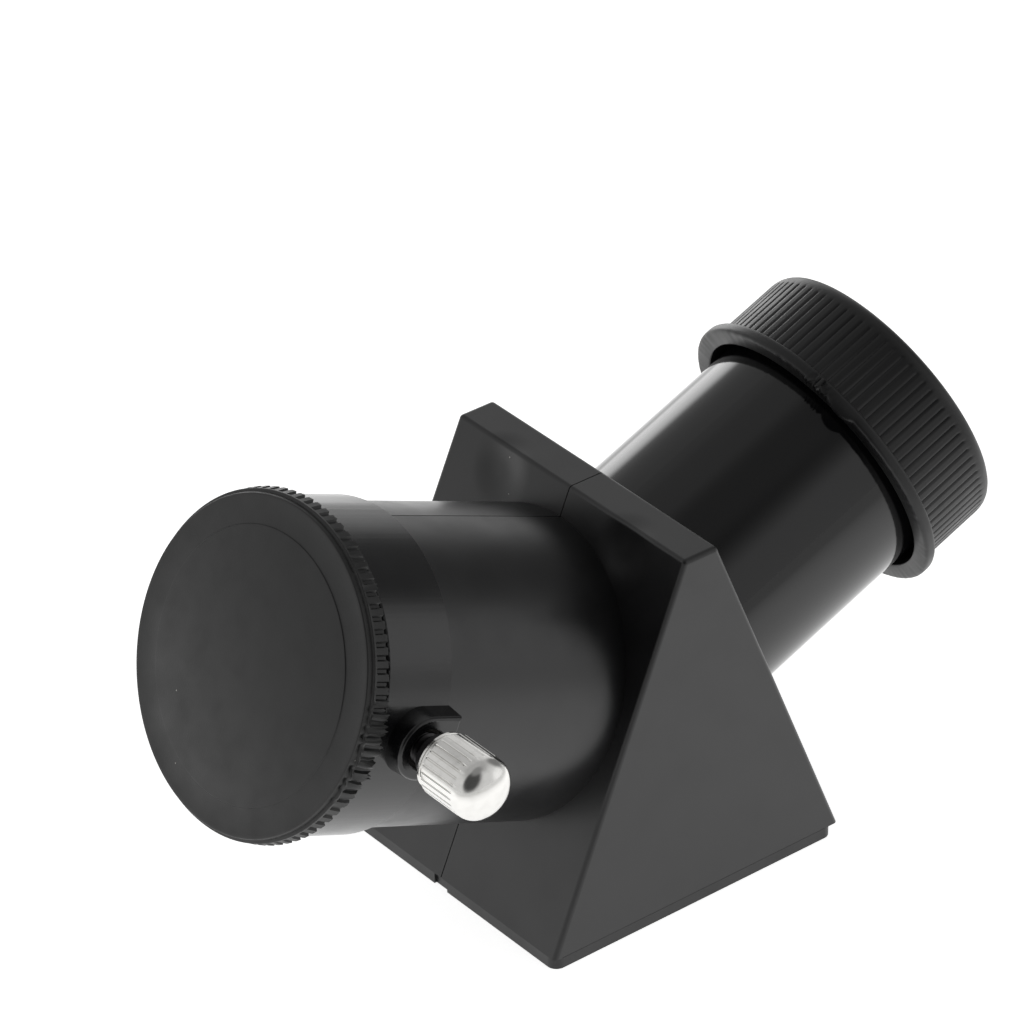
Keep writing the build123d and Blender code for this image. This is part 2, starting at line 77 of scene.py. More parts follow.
@dataclass(frozen=True)
class Bench:
    """A working frame: the piece is made round its Z axis and then set in place.

    Attributes:
        origin: where the piece's zero stands, in metres.
        along: direction that the piece's Z axis takes.
        up: direction that the piece's X axis takes.
    """

    origin: Vector
    along: Vector
    up: Vector

    @classmethod
    def on_tube(cls, tube: Tube) -> "Bench":
        """Make the frame of one tube, with its zero where the two tubes' axes cross.

        Args:
            tube: which tube.

        Returns:
            The frame, its X axis pointing up from the tube.
        """
        mount = next(m for m in frame["record"]["mounts"] if m["name"] == tube.value)
        along = Vector(mount["axis"]).normalized()
        point = Vector(mount["pos_m"])
        # the two axes cross in the plane x = 0
        crossing = point - along * (point.x / along.x)
        up = (Vector((0, 0, 1)) - along * along.z).normalized()
        return cls(crossing, along, up)

    @classmethod
    def on_thumbscrew(cls) -> "Bench":
        """Make the frame of the thumbscrew, with its zero on the eyepiece tube's axis.

        Returns:
            The frame, its Z axis pointing out along the screw.
        """
        joint = next(j for j in frame["joints"] if j["name"] == "thumbscrew_turn")
        return cls(Vector(joint["pos_m"]), Vector(joint["axis"]).normalized(), Vector((0, 0, 1)))

    def matrix(self) -> Matrix:
        """Work out where this frame stands.

        Returns:
            The matrix that sets a piece made on the bench in its place.
        """
        across = self.along.cross(self.up)
        turn = Matrix((self.up, across, self.along)).transposed().to_4x4()
        return Matrix.Translation(self.origin) @ turn


# ---------------------------------------------------------------- bench tools


def clear_selection() -> None:
    """Deselect every object."""
    bpy.ops.object.select_all(action="DESELECT")


def take(piece: bpy.types.Object) -> None:
    """Select one object and make it active."""
    clear_selection()
    piece.select_set(True)
    bpy.context.view_layer.objects.active = piece


def pick(piece: bpy.types.Object, wanted: Callable[[Vector], bool]) -> None:
    """Select vertices of the piece in edit mode.

    Args:
        piece: the piece, which is in edit mode.
        wanted: takes a vertex's place in millimetres and says if it is wanted.
    """
    bpy.ops.mesh.select_mode(type="VERT")
    bpy.ops.mesh.select_all(action="DESELECT")
    mesh = bmesh.from_edit_mesh(piece.data)
    for vertex in mesh.verts:
        if wanted(vertex.co / MM):
            vertex.select_set(True)
    mesh.select_flush_mode()
    bmesh.update_edit_mesh(piece.data)


def shrink_picked(depth: float, radius: float) -> None:
    """Draw the selected vertices in towards the Z axis.

    Args:
        depth: how far a vertex at the radius moves in.
        radius: that radius.
    """
    shrink = 1 - depth / radius
    bpy.ops.transform.resize(value=(shrink, shrink, 1), center_override=(0, 0, 0))


def around(place: Vector) -> float:
    """Angle of a place round the Z axis, in degrees from 0 to 360."""
    return math.degrees(math.atan2(place.y, place.x)) % 360.0


def ring_way(angle: float) -> Vector:
    """Direction away from the Z axis at an angle in degrees."""
    return Vector((math.cos(math.radians(angle)), math.sin(math.radians(angle)), 0))


def nearness(angle: float, middle: float, reach: float) -> float:
    """How near an angle is to a middle one: 1 there, and 0 from the reach on."""
    return max(0.0, 1 - abs(angle - middle) / reach)


def ring_noise(ring: Vector, lumps: float, height: float) -> float:
    """Noise round a ring, from about -1 to 1.

    Args:
        ring: direction away from the Z axis.
        lumps: how fast the noise changes round the ring.
        height: place along the axis, which also keeps two patterns apart.

    Returns:
        The noise.
    """
    return noise.noise(ring * lumps + Vector((0, 0, height)))


def draw_line(name: str, start: tuple[float, float],
              moves: Iterable[tuple[float, float]]) -> bpy.types.Object:
    """Draw an open line beside the Z axis, one extrusion after another.

    Args:
        name: name of the new piece.
        start: (radius, height) of its first point, in millimetres.
        moves: how far out and up each next point lies.

    Returns:
        The new piece, left in edit mode.
    """
    clear_selection()
    bpy.ops.mesh.primitive_plane_add(size=MM, location=Vector((start[0], 0, start[1])) * MM)
    piece = bpy.context.active_object
    piece.name = piece.data.name = name
    bpy.ops.object.transform_apply(location=True, rotation=True, scale=True)
    bpy.ops.object.mode_set(mode="EDIT")
    bpy.ops.mesh.select_all(action="SELECT")
    bpy.ops.mesh.merge(type="CENTER")
    for out, rise in moves:
        bpy.ops.mesh.extrude_region_move(TRANSFORM_OT_translate={"value": (out * MM, 0, rise * MM)})
    return piece


def weld() -> None:
    """Merge the doubled vertices of the piece in edit mode and turn its faces outwards."""
    bpy.ops.mesh.select_all(action="SELECT")
    bpy.ops.mesh.remove_doubles(threshold=WELD)
    bpy.ops.mesh.select_all(action="SELECT")
    bpy.ops.mesh.normals_make_consistent(inside=False)


def turn_outline(name: str, outline: Outline, steps: int) -> bpy.types.Object:
    """Turn an outline round the Z axis, as on a lathe.

    Args:
        name: name of the new piece.
        outline: (radius, height) points in millimetres, from one end of the section to the other.
        steps: how many steps the turn has.

    Returns:
        The new piece, left in edit mode.
    """
    moves = ((after[0] - before[0], after[1] - before[1]) for before, after in zip(outline, outline[1:]))
    piece = draw_line(name, outline[0], moves)
    bpy.ops.mesh.select_all(action="SELECT")
    bpy.ops.mesh.spin(steps=steps, angle=math.tau, center=(0, 0, 0), axis=(0, 0, 1))
    weld()
    return piece


def rounded(corner: tuple[float, float], first: tuple[float, float], last: tuple[float, float],
            steps: int) -> list[tuple[float, float]]:
    """Points of a soft corner between two points of an outline.

    Args:
        corner: the sharp corner.
        first: where the rounding starts.
        last: where it ends.
        steps: how many runs it has.

    Returns:
        The points, first and last among them.
    """
    points = []
    for number in range(steps + 1):
        t = number / steps
        points.append(tuple((1 - t) ** 2 * a + 2 * t * (1 - t) * b + t * t * c
                            for a, b, c in zip(first, corner, last)))
    return points


def set_in_place(piece: bpy.types.Object, bench: Bench, smooth_under: float = 35.0) -> None:
    """Leave edit mode, smooth the piece and move its mesh to its place.

    Args:
        piece: the finished piece.
        bench: the frame that it was made in.
        smooth_under: edges that turn by less than this are shaded smooth, degrees.
    """
    if bpy.context.mode != "OBJECT":
        bpy.ops.object.mode_set(mode="OBJECT")
    take(piece)
    piece.matrix_world = bench.matrix()
    bpy.ops.object.transform_apply(location=True, rotation=True, scale=True)
    bpy.ops.object.shade_smooth_by_angle(angle=math.radians(smooth_under))


def hand_over(piece: bpy.types.Object, body: str, nodes: Sequence[str],
              material: bpy.types.Material) -> None:
    """Give a finished piece its material, its body and the nodes that it stands for.

    Args:
        piece: the finished piece.
        body: the body that it rides on.
        nodes: frame nodes that it replaces.
        material: its material.
    """
    piece.data.materials.clear()
    piece.data.materials.append(material)
    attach(piece, body)
    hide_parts(*nodes)
    log.info("%s: %d faces on %s", piece.name, len(piece.data.polygons), body)


# ---------------------------------------------------------------- materials


def linear(hex_colour: str) -> tuple[float, float, float, float]:
    """Turn an sRGB hex colour into linear red, green, blue and alpha.

    Args:
        hex_colour: such as "#1a1a1b".

    Returns:
        Four numbers from 0 to 1.
    """
    parts = [int(hex_colour[i:i + 2], 16) / 255 for i in (1, 3, 5)]
    return tuple(p / 12.92 if p <= 0.04045 else ((p + 0.055) / 1.055) ** 2.4 for p in parts) + (1.0,)


def add_node(tree: bpy.types.NodeTree, kind: str, inputs: Optional[dict] = None,
             **settings) -> bpy.types.Node:
    """Add one node with its settings and links.

    Args:
        tree: the node tree.
        kind: the node's type name.
        inputs: values or output sockets by input name or number.
        settings: attributes of the node.

    Returns:
        The new node.
    """
    node = tree.nodes.new(kind)
    for name, value in settings.items():
        setattr(node, name, value)
    for name, value in (inputs or {}).items():
        if isinstance(value, bpy.types.NodeSocket):
            tree.links.new(value, node.inputs[name])
        else:
            node.inputs[name].default_value = value
    return node


def blank_material(name: str) -> tuple[bpy.types.Material, bpy.types.NodeTree, bpy.types.NodeSocket]:
    """Start a material.

    Args:
        name: the material's name.

    Returns:
        The material, its emptied node tree and the Object coordinates.
    """
    material = bpy.data.materials.new(name)
    material.use_nodes = True
    tree = material.node_tree
    tree.nodes.clear()
    return material, tree, add_node(tree, "ShaderNodeTexCoord").outputs["Object"]


def bump_of(tree: bpy.types.NodeTree, height: bpy.types.NodeSocket) -> bpy.types.NodeSocket:
    """Turn a height in millimetres into a normal.

    Args:
        tree: the node tree.
        height: the height.

    Returns:
        The normal.
    """
    return add_node(tree, "ShaderNodeBump", {"Height": height, "Strength": 1.0,
                                             "Distance": MM}).outputs["Normal"]


def blend(tree: bpy.types.NodeTree, share: bpy.types.NodeSocket, first: str,
          second: str) -> bpy.types.NodeSocket:
    """Blend two colours by a pattern.

    Args:
        tree: the node tree.
        share: the pattern, 0 for the first colour and 1 for the second.
        first: sRGB hex colour.
        second: the other.

    Returns:
        The colour.
    """
    return add_node(tree, "ShaderNodeMix", {"Factor": share, "A": linear(first), "B": linear(second)},
                    data_type="RGBA").outputs["Result"]


def close_material(tree: bpy.types.NodeTree, inputs: dict) -> None:
    """Finish a material with one Principled shader.

    Args:
        tree: the material's node tree.
        inputs: the shader's inputs.
    """
    shader = add_node(tree, "ShaderNodeBsdfPrincipled", inputs)
    add_node(tree, "ShaderNodeOutputMaterial", {"Surface": shader.outputs["BSDF"]})


def fine_noise(tree: bpy.types.NodeTree, coordinates: bpy.types.NodeSocket, size: float,
               detail: float = 2.0) -> bpy.types.NodeSocket:
    """Add noise whose lumps have a given size.

    Args:
        tree: the node tree.
        coordinates: the place on the surface.
        size: size of a lump in millimetres.
        detail: how much finer noise is laid over it.

    Returns:
        The noise, from 0 to 1.
    """
    return add_node(tree, "ShaderNodeTexNoise",
                    {"Vector": coordinates, "Scale": 1 / (size * MM), "Detail": detail}).outputs["Fac"]


def spread(tree: bpy.types.NodeTree, value: bpy.types.NodeSocket, low: float, high: float,
           from_low: float = 0.3, from_high: float = 0.7) -> bpy.types.NodeSocket:
    """Map a range of a pattern onto another range.

    Args:
        tree: the node tree.
        value: the pattern.
        low: what the range's low end becomes.
        high: what its high end becomes.
        from_low: the range's low end.
        from_high: its high end.

    Returns:
        The mapped value.
    """
    return add_node(tree, "ShaderNodeMapRange",
                    {"Value": value, "From Min": from_low, "From Max": from_high,
                     "To Min": low, "To Max": high}).outputs["Result"]


def maths(tree: bpy.types.NodeTree, operation: str, first: object, second: object) -> bpy.types.NodeSocket:
    """Work out one operation on two values.

    Args:
        tree: the node tree.
        operation: such as "ADD" or "MULTIPLY".
        first: a number or a socket.
        second: the other.

    Returns:
        The result.
    """
    return add_node(tree, "ShaderNodeMath", {0: first, 1: second}, operation=operation).outputs["Value"]


@dataclass(frozen=True)
class MouldedPlastic:
    """Black plastic as it comes from an injection mould.

    What the eye gets is mostly reflected room: the plastic itself is nearly black, and the mould's fine
    texture decides how soft the reflections are. Dust shows as sparse pale specks.

    Attributes:
        name: material name.
        colour: sRGB hex colour of the plastic.
        ior: refractive index.
        roughness: mean roughness.
        unevenness: how far the roughness wanders either way, in patches.
        patch: size of those patches.
        grain: size of the mould's texture, drawn coarse enough to show.
        grain_depth: depth of that texture.
        waviness: depth of the slow unevenness left by cooling.
        wave: size of that unevenness.
        dust: share of the surface's cells that carry a pale speck.
        dust_colour: sRGB hex colour of the specks.
        streak_along: direction in which flow streaks run, if the piece has them.
        streak_depth: depth of those streaks.
        sinks: places of soft hollows left where the moulding is thick inside, in millimetres.
        sink_radius: radius of a hollow.
        sink_depth: its depth.
    """

    name: str
    colour: str
    ior: float
    roughness: float
    unevenness: float = 0.04
    patch: float = 4.0
    grain: float = 0.14
    grain_depth: float = 0.002
    waviness: float = 0.0
    wave: float = 6.0
    dust: float = 0.012
    dust_colour: str = "#8d8b86"
    streak_along: Optional[Vector] = None
    streak_depth: float = 0.0
    sinks: tuple[tuple[float, float, float], ...] = ()
    sink_radius: float = 4.0
    sink_depth: float = 0.0

    def material(self) -> bpy.types.Material:
        """Build the material.

        Returns:
            The material.
        """
        material, tree, place = blank_material(self.name)
        height = maths(tree, "MULTIPLY", fine_noise(tree, place, self.grain, 3.0), self.grain_depth)
        if self.waviness:
            wave = maths(tree, "MULTIPLY", fine_noise(tree, place, self.wave, 1.0), self.waviness)
            height = maths(tree, "ADD", height, wave)
        if self.streak_along is not None:
            height = maths(tree, "ADD", height, self.streaks(tree, place))
        for centre in self.sinks:
            height = maths(tree, "SUBTRACT", height, self.sink(tree, place, centre))
        patches = fine_noise(tree, place, self.patch, 4.0)
        rough = spread(tree, patches, self.roughness - self.unevenness, self.roughness + self.unevenness)
        colour = blend(tree, self.specks(tree, place), self.colour, self.dust_colour)
        close_material(tree, {"Base Color": colour, "Roughness": rough, "IOR": self.ior,
                              "Normal": bump_of(tree, height)})
        return material

    def streaks(self, tree: bpy.types.NodeTree, place: bpy.types.NodeSocket) -> bpy.types.NodeSocket:
        """Draw fine streaks along one direction.

        Args:
            tree: the node tree.
            place: the place on the surface.

        Returns:
            Their height in millimetres.
        """
        width, shortening = 0.3, 0.02
        turn = Vector((0, 0, 1)).rotation_difference(self.streak_along).inverted().to_euler()
        laid = add_node(tree, "ShaderNodeMapping", {"Vector": place, "Rotation": tuple(turn)})
        drawn = add_node(tree, "ShaderNodeMapping",
                         {"Vector": laid.outputs["Vector"], "Scale": (1, 1, shortening)})
        lines = fine_noise(tree, drawn.outputs["Vector"], width, 3.0)
        return maths(tree, "MULTIPLY", lines, self.streak_depth)

    def sink(self, tree: bpy.types.NodeTree, place: bpy.types.NodeSocket,
             centre: tuple[float, float, float]) -> bpy.types.NodeSocket:
        """Sink one soft hollow.

        Args:
            tree: the node tree.
            place: the place on the surface.
            centre: the hollow's middle, in millimetres.

        Returns:
            Its depth in millimetres.
        """
        away = add_node(tree, "ShaderNodeVectorMath", {0: place, 1: tuple(c * MM for c in centre)},
                        operation="DISTANCE").outputs["Value"]
        ramp = add_node(tree, "ShaderNodeMapRange",
                        {"Value": away, "From Min": 0.0, "From Max": self.sink_radius * MM,
                         "To Min": self.sink_depth, "To Max": 0.0}, interpolation_type="SMOOTHERSTEP")
        return ramp.outputs["Result"]

    def specks(self, tree: bpy.types.NodeTree, place: bpy.types.NodeSocket) -> bpy.types.NodeSocket:
        """Scatter dust specks some 0.15 mm across.

        Args:
            tree: the node tree.
            place: the place on the surface.

        Returns:
            Their mask, 1 on a speck.
        """
        spacing, speck_radius = 1.1, 0.07
        cells = add_node(tree, "ShaderNodeTexVoronoi", {"Vector": place, "Scale": 1 / (spacing * MM)})
        chance = add_node(tree, "ShaderNodeSeparateColor", {"Color": cells.outputs["Color"]}).outputs["Red"]
        chosen = maths(tree, "LESS_THAN", chance, self.dust)
        # a cell measures its distances in spacings
        near = maths(tree, "LESS_THAN", cells.outputs["Distance"], speck_radius)
        return maths(tree, "MULTIPLY", chosen, near)


@dataclass(frozen=True)
class PlatedMetal:
    """Bright plating on turned brass or steel.

    The plating mirrors the room almost whole, softened by the turning marks under it, so highlights
    stay sharp and the darks come only from what it reflects.

    Attributes:
        name: material name.
        colour: sRGB hex colour of the metal.
        roughness: mean roughness.
        mark: width of the turning marks.
        mark_depth: depth of those marks.
        grime: sRGB hex colour that gathers in patches.
        grime_share: how strongly it shows.
        patch: size of the patches in which the roughness wanders.
        stain: size of the patches of grime.
    """

    name: str
    colour: str
    roughness: float
    mark: float = 0.08
    mark_depth: float = 0.0006
    grime: str = "#6a665e"
    grime_share: float = 0.12
    patch: float = 1.2
    stain: float = 0.7

    def material(self) -> bpy.types.Material:
        """Build the material.

        Returns:
            The material.
        """
        material, tree, place = blank_material(self.name)
        # the marks ring the Y axis, along which the thumbscrew lies
        along_mark = 0.08
        drawn = add_node(tree, "ShaderNodeMapping", {"Vector": place, "Scale": (along_mark, 1, along_mark)})
        marks = fine_noise(tree, drawn.outputs["Vector"], self.mark, 2.0)
        pits = fine_noise(tree, place, self.mark * 1.5, 3.0)
        height = maths(tree, "MULTIPLY", maths(tree, "ADD", marks, pits), self.mark_depth)
        patches = fine_noise(tree, place, self.patch, 4.0)
        rough = spread(tree, patches, self.roughness * 0.75, self.roughness * 1.4)
        dirty = spread(tree, fine_noise(tree, place, self.stain, 4.0), 0.0, self.grime_share, 0.5, 0.75)
        close_material(tree, {"Base Color": blend(tree, dirty, self.colour, self.grime), "Metallic": 1.0,
                              "Roughness": rough, "Normal": bump_of(tree, height)})
        return material


@dataclass(frozen=True)
class OpticalGlass:
    """Polished crown glass: clear, with a faint green depth and the least film on its faces.

    Attributes:
        name: material name.
        colour: sRGB hex colour that the light takes on its way through.
        ior: refractive index.
        film: roughness where the film lies thickest.
        patch: size of the film's patches.
    """

    name: str
    colour: str = "#eef4f0"
    ior: float = 1.517
    film: float = 0.035
    patch: float = 3.0

    def material(self) -> bpy.types.Material:
        """Build the material.

        Returns:
            The material.
        """
        material, tree, place = blank_material(self.name)
        film = spread(tree, fine_noise(tree, place, self.patch, 4.0), 0.0, self.film)
        close_material(tree, {"Base Color": linear(self.colour), "Roughness": film, "IOR": self.ior,
                              "Transmission Weight": 1.0})
        return material


@dataclass(frozen=True)
class CellFoam:
    """Black closed-cell foam: dull, with a skin of small open bubbles.

    Attributes:
        name: material name.
        colour: sRGB hex colour.
        hollow: sRGB hex colour of the painted shade between the bubbles.
        cell: size of a bubble.
        cell_depth: depth of the skin over one bubble.
        roughness: roughness all over.
    """

    name: str
    colour: str = "#1b1b1c"
    hollow: str = "#060606"
    cell: float = 0.22
    cell_depth: float = 0.06
    roughness: float = 0.85

    def material(self) -> bpy.types.Material:
        """Build the material.

        Returns:
            The material.
        """
        material, tree, place = blank_material(self.name)
        cells = add_node(tree, "ShaderNodeTexVoronoi", {"Vector": place, "Scale": 1 / (self.cell * MM)},
                         feature="SMOOTH_F1")
        height = maths(tree, "MULTIPLY", cells.outputs["Distance"], self.cell_depth)
        # painted shade: the colour darkens from each bubble's middle towards the edge of its cell
        shade = blend(tree, cells.outputs["Distance"], self.colour, self.hollow)
        close_material(tree, {"Base Color": shade, "Roughness": self.roughness,
                              "Normal": bump_of(tree, height)})
        return material


# ---------------------------------------------------------------- the eyepiece cap


@dataclass
class EyepieceCap:
    """The flat dust cap pushed into the collar, with its knurled rim.

    Heights are along the eyepiece tube from the crossing of the tubes' axes.

    Attributes:
        bench: the tube's frame.
        face: height of the raised middle of the face.
        face_radius: where the face's soft edge lies.
        step_radius: middle of the step round the raised part.
        step: height of that step.
        band_radius: radius of the plain band behind the face, at its foot.
        band_start: height of the rim's front edge.
        rim_radius: radius of the rim in front of its bars.
        rim_flare: how much wider the rim is at its back.
        rim_back: height of the rim's back edge.
        seat: height at which the cap rests on the collar.
        land_radius: outside of the ring that rests there.
        plug_radius: radius of the plug in the bore.
        plug_tip: height of the plug's end.
        lead_start: where the plug begins to narrow.
        lead_end: where it has narrowed.
        lead_radius: radius of the narrowed end.
        inner_radius: radius of the plug's hollow.
        floor: height of the hollow's bottom.
        teeth: how many bars stand round the rim.
        parts_a_tooth: steps of the turn that a pit and a bar take.
        pit_parts: how many of them the pit takes.
        pit_depth: depth of a pit.
        rail: width of the plain rail in front of the bars.
        worst_angle: where the flash is worst. Angles grow from the tube's top towards +Y, so the
            thumbscrew's side is about 270.
        upper_angle: middle of a lesser torn stretch above it.
    """

    bench: Bench
    face: float = 40.4
    face_radius: float = 14.74
    step_radius: float = 12.12
    step: float = 0.11
    band_radius: float = 14.86
    band_start: float = 39.8
    rim_radius: float = 15.15
    rim_flare: float = 0.17
    rim_back: float = 38.6
    seat: float = 37.95
    land_radius: float = 13.8
    plug_radius: float = 12.45
    plug_tip: float = 33.4
    lead_start: float = 35.6
    lead_end: float = 35.0
    lead_radius: float = 11.6
    inner_radius: float = 10.6
    floor: float = 39.1
    teeth: int = 86
    parts_a_tooth: int = 8
    pit_parts: float = 3.5
    pit_depth: float = 0.2
    rail: float = 0.24
    worst_angle: float = 266.0
    upper_angle: float = 327.0

    def outline(self) -> list[tuple[float, float]]:
        """Lay out the cap's section.

        Returns:
            Points from the middle of the face round to the middle of the hollow.
        """
        face, border, edge = self.face, self.face - self.step, self.face_radius
        slope, ease = 0.08, 0.03
        radius = self.step_radius
        points = [(0, face), (radius - slope, face), (radius - ease, face - ease / 2),
                  (radius + ease, border + ease / 2), (radius + slope, border), (edge - 0.3, border)]
        points += rounded((edge + 0.04, border), (edge - 0.08, border), (edge + 0.06, border - 0.14), 4)
        front, rim, back = self.band_start, self.rim_radius, self.rim_radius + self.rim_flare
        points += [(self.band_radius, front + 0.05), (rim - 0.04, front), (rim, front - 0.05),
                   (rim, front - self.rail), (rim, front - self.rail - 0.07), (back, self.rim_back + 0.1),
                   (back + 0.03, self.rim_back - 0.02), (back - 0.16, self.rim_back)]
        inner, tip_edge, floor_edge = self.inner_radius, 0.2, 0.6
        points += [(self.land_radius, self.rim_back), (self.land_radius, self.seat),
                   (self.plug_radius, self.seat), (self.plug_radius, self.lead_start),
                   (self.lead_radius, self.lead_end), (self.lead_radius, self.plug_tip + tip_edge),
                   (self.lead_radius - tip_edge, self.plug_tip), (inner + tip_edge, self.plug_tip),
                   (inner, self.plug_tip + tip_edge), (inner, self.floor - floor_edge),
                   (inner - floor_edge, self.floor), (0, self.floor)]
        return points

    def build(self) -> bpy.types.Object:
        """Model the cap.

        Returns:
            The cap, in its place.
        """
        piece = turn_outline("eyepiece_cap_knurled", self.outline(), self.teeth * self.parts_a_tooth)
        self.cut_pits(piece)
        self.raise_flash(piece)
        set_in_place(piece, self.bench)
        return piece

    def in_pit(self, angle: float) -> bool:
        """Whether an angle round the rim falls in a pit."""
        pitch = 360 / self.teeth
        return 0.5 < angle % pitch / pitch * self.parts_a_tooth < self.pit_parts

    def cut_pits(self, piece: bpy.types.Object) -> None:
        """Sink the pits between the rim's bars, open towards the collar.

        Args:
            piece: the turned cap, in edit mode.
        """
        def wanted(place: Vector) -> bool:
            """Whether a vertex of the rim's wall lies in a pit."""
            on_wall = self.rim_back - 0.1 < place.z < self.band_start - self.rail - 0.03
            return on_wall and place.xy.length > self.face_radius and self.in_pit(around(place))

        pick(piece, wanted)
        shrink_picked(self.pit_depth, self.rim_radius)

    def raise_flash(self, piece: bpy.types.Object) -> None:
        """Draw the ragged mould flash out of the rim's back edge, worst beside the thumbscrew.

        Args:
            piece: the cap with its pits cut, in edit mode.
        """
        lip = self.face_radius + 0.1
        mesh = bmesh.from_edit_mesh(piece.data)
        for vertex in mesh.verts:
            place = vertex.co / MM
            if place.z > self.band_start + 0.1 or place.xy.length < lip:
                continue
            angle = around(place)
            ring = ring_way(angle)
            worst = min(1.0, 1.6 * nearness(angle, self.worst_angle, 24))
            upper = nearness(angle, self.upper_angle, 16)
            # the whole rim is crumpled there
            crumple = ring_noise(ring, 34, place.z * 2.2)
            vertex.co += ring * (worst * 0.3 + upper * 0.12) * crumple * MM
            if place.z < self.rim_back + 0.02:
                # and its edge reaches back in torn points, or a little further at each bar elsewhere
                fine = abs(ring_noise(ring, 46, 0.3))
                slow = max(0.0, ring_noise(ring, 9, 4.1))
                reach = 0.03 + 0.12 * fine + 0.08 * slow + (0.0 if self.in_pit(angle) else 0.1)
                reach += worst * (0.25 + 1.4 * fine) + upper * 0.7 * fine
                vertex.co.z -= reach * MM
        bmesh.update_edit_mesh(piece.data)


# ---------------------------------------------------------------- the nose cap


@dataclass
class NoseCap:
    """The ribbed dust cap over the nose barrel, with its rolled lip.

    Heights are along the nose tube from the crossing of the tubes' axes.

    Attributes:
        bench: the tube's frame.
        lip_start: height of the lip's open edge.
        lip_end: height of its other side.
        lip_radius: outside of the lip.
        bore_radius: inside of the cap.
        wall_radius: outside of the wall over its ribs.
        end: height of the closed end.
        floor: height of the inside's bottom.
        shoulder: size of the soft edge round the closed end.
        ribs: how many ribs stand round the wall.
        parts_a_rib: steps of the turn that a rib and a groove take.
        groove_depth: depth of a groove between ribs.
        torn_angle: where the gate was torn off the lip. Angles grow from the tube's top towards -Y.
        bulge_angle: middle of the bulge beside it.
    """

    bench: Bench
    lip_start: float = 28.8
    lip_end: float = 30.0
    lip_radius: float = 14.71
    bore_radius: float = 12.98
    wall_radius: float = 13.88
    end: float = 38.3
    floor: float = 37.0
    shoulder: float = 1.5
    ribs: int = 88
    parts_a_rib: int = 6
    groove_depth: float = 0.13
    torn_angle: float = 24.0
    bulge_angle: float = 36.0

    def outline(self) -> list[tuple[float, float]]:
        """Lay out the cap's section.

        Returns:
            Points from the middle of the closed end round to the middle of the floor inside.
        """
        end, wall, lip, bore = self.end, self.wall_radius, self.lip_radius, self.bore_radius
        low, high, shoulder = self.lip_start, self.lip_end, self.shoulder
        run_out, soft, mouth = 0.25, 0.4, 0.2
        points = [(0, end)] + rounded((wall, end), (wall - shoulder, end), (wall, end - shoulder), 8)
        points += [(wall, end - shoulder - run_out), (wall, high + run_out),
                   (wall + 0.03, high + 0.06), (wall + 0.12, high)]
        points += rounded((lip, high), (lip - 0.35, high), (lip, high - soft), 4)
        points += rounded((lip, low), (lip, low + soft), (lip - soft, low), 4)
        points += rounded((bore, low), (bore + mouth, low), (bore, low + mouth), 3)
        points += [(bore, self.floor - soft), (bore - soft, self.floor), (0, self.floor)]
        return points

    def build(self) -> bpy.types.Object:
        """Model the cap.

        Returns:
            The cap, in its place.
        """
        piece = turn_outline("nose_cap_ribbed", self.outline(), self.ribs * self.parts_a_rib)
        pitch = 360 / self.ribs

        def in_groove(place: Vector) -> bool:
            """Whether a vertex of the wall is at the bottom of a groove, one step wide."""
            part = (around(place) + pitch / self.parts_a_rib / 2) % pitch / pitch * self.parts_a_rib
            on_wall = abs(place.xy.length - self.wall_radius) < 0.02
            return on_wall and self.lip_end + 0.1 < place.z < self.end - self.shoulder - 0.1 and part < 1

        pick(piece, in_groove)
        shrink_picked(self.groove_depth, self.wall_radius)
        self.damage_lip(piece)
        set_in_place(piece, self.bench)
        return piece

    def damage_lip(self, piece: bpy.types.Object) -> None:
        """Rough up the lip where the mould's gate was torn off, with a small bulge beside it.

        Args:
            piece: the cap with its grooves cut, in edit mode.
        """
        mesh = bmesh.from_edit_mesh(piece.data)
        for vertex in mesh.verts:
            place = vertex.co / MM
            if place.z > self.lip_end - 0.3 or place.xy.length < self.lip_radius - 0.9:
                continue
            angle = around(place)
            ring = ring_way(angle)
            torn = nearness(angle, self.torn_angle, 8)
            bulge = max(0.0, 1 - ((angle - self.bulge_angle) / 6.5) ** 2)
            fine = ring_noise(ring, 60, place.z * 5)
            faint = ring_noise(ring, 22, 7.0)
            # the open edge moves most, and the lip's other side stays flat
            low = max(0.0, min(1.0, (self.lip_start + 0.6 - place.z) / 0.5))
            vertex.co.z -= (torn * 0.9 * abs(fine) + bulge * 0.5 + 0.03 * faint) * low * MM
            vertex.co += ring * (torn * 0.35 * fine + bulge * 0.03) * MM
        bmesh.update_edit_mesh(piece.data)


# ---------------------------------------------------------------- the thumbscrew


